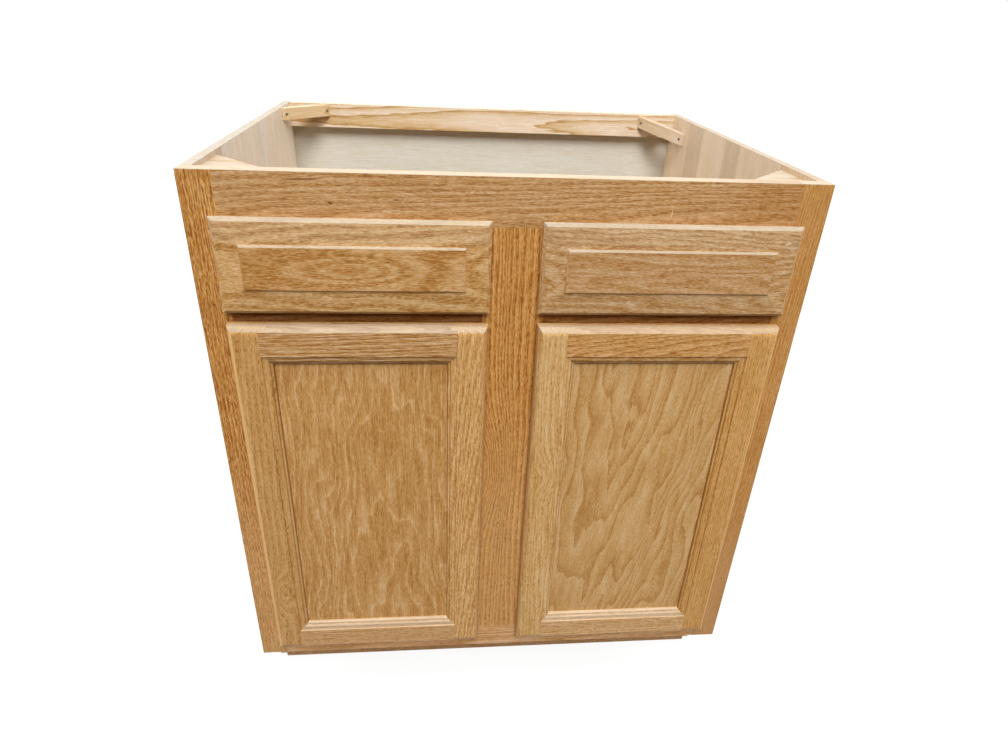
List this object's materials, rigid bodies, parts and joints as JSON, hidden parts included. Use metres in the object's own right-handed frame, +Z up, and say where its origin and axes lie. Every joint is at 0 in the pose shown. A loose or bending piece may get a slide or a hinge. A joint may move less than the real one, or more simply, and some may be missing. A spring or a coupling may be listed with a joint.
{
  "type": "kitchen base cabinet",
  "caption": "Oak face-frame sink base with hinged overlay doors, fixed drawer fronts, open top and toe space.",
  "frame": {"origin": "on the floor, in the middle of the outline's width and of its depth", "axes": "+Z up, the doors face -Y, the back goes to the wall at +Y, +X to the right seen from the front"},
  "size_m": [0.762, 0.6312, 0.8763],
  "materials": {
    "oak": "satin clear coat",
    "oak_veneer": "satin clear coat",
    "pine": "bare planed",
    "birch": "bare",
    "panel_board": "bare sanded",
    "pale_board": "matt",
    "steel": "nickel plated",
    "bumper": "clear"
  },
  "bodies": {
    "carcass": {"left_side_panel": "panel_board", "right_side_panel": "panel_board", "floor_panel": "panel_board", "back_panel": "pale_board", "hang_rail": "pine", "toe_board": "panel_board", "left_frame_stile": "oak", "right_frame_stile": "oak", "frame_top_rail": "oak", "frame_bottom_rail": "oak", "frame_mullion": "oak", "left_frame_mid_rail": "oak", "right_frame_mid_rail": "oak", "frame_dowels": "birch", "left_front_corner_block": "pine", "right_front_corner_block": "pine", "left_rear_brace": "pine", "right_rear_brace": "pine", "rear_brace_nails": "steel", "left_drawer_front": "oak", "right_drawer_front": "oak", "left_outer_cleat": "pine", "left_inner_cleat": "pine", "right_inner_cleat": "pine", "right_outer_cleat": "pine", "cleat_screws": "steel", "left_upper_hinge_arm": "steel", "left_lower_hinge_arm": "steel", "right_upper_hinge_arm": "steel", "right_lower_hinge_arm": "steel", "hinge_plate_screws": "steel"},
    "left_door": {"left_door_hinge_stile": "oak", "left_door_free_stile": "oak", "left_door_top_rail": "oak", "left_door_bottom_rail": "oak", "left_door_panel": "oak_veneer", "left_door_bumpers": "bumper", "left_upper_hinge_cup": "steel", "left_upper_hinge_pin": "steel", "left_lower_hinge_cup": "steel", "left_lower_hinge_pin": "steel", "left_cup_screws": "steel"},
    "right_door": {"right_door_hinge_stile": "oak", "right_door_free_stile": "oak", "right_door_top_rail": "oak", "right_door_bottom_rail": "oak", "right_door_panel": "oak_veneer", "right_door_bumpers": "bumper", "right_upper_hinge_cup": "steel", "right_upper_hinge_pin": "steel", "right_lower_hinge_cup": "steel", "right_lower_hinge_pin": "steel", "right_cup_screws": "steel"}
  },
  "joints": [
    {"name": "left_door_hinge", "type": "hinge", "parent": "carcass", "child": "left_door", "pos_m": [-0.34245, -0.30602, 0.41405], "axis": [0, 0, -1], "range_deg": [0, 105]},
    {"name": "right_door_hinge", "type": "hinge", "parent": "carcass", "child": "right_door", "pos_m": [0.34245, -0.30602, 0.41405], "axis": [0, 0, 1], "range_deg": [0, 105]}
  ]
}
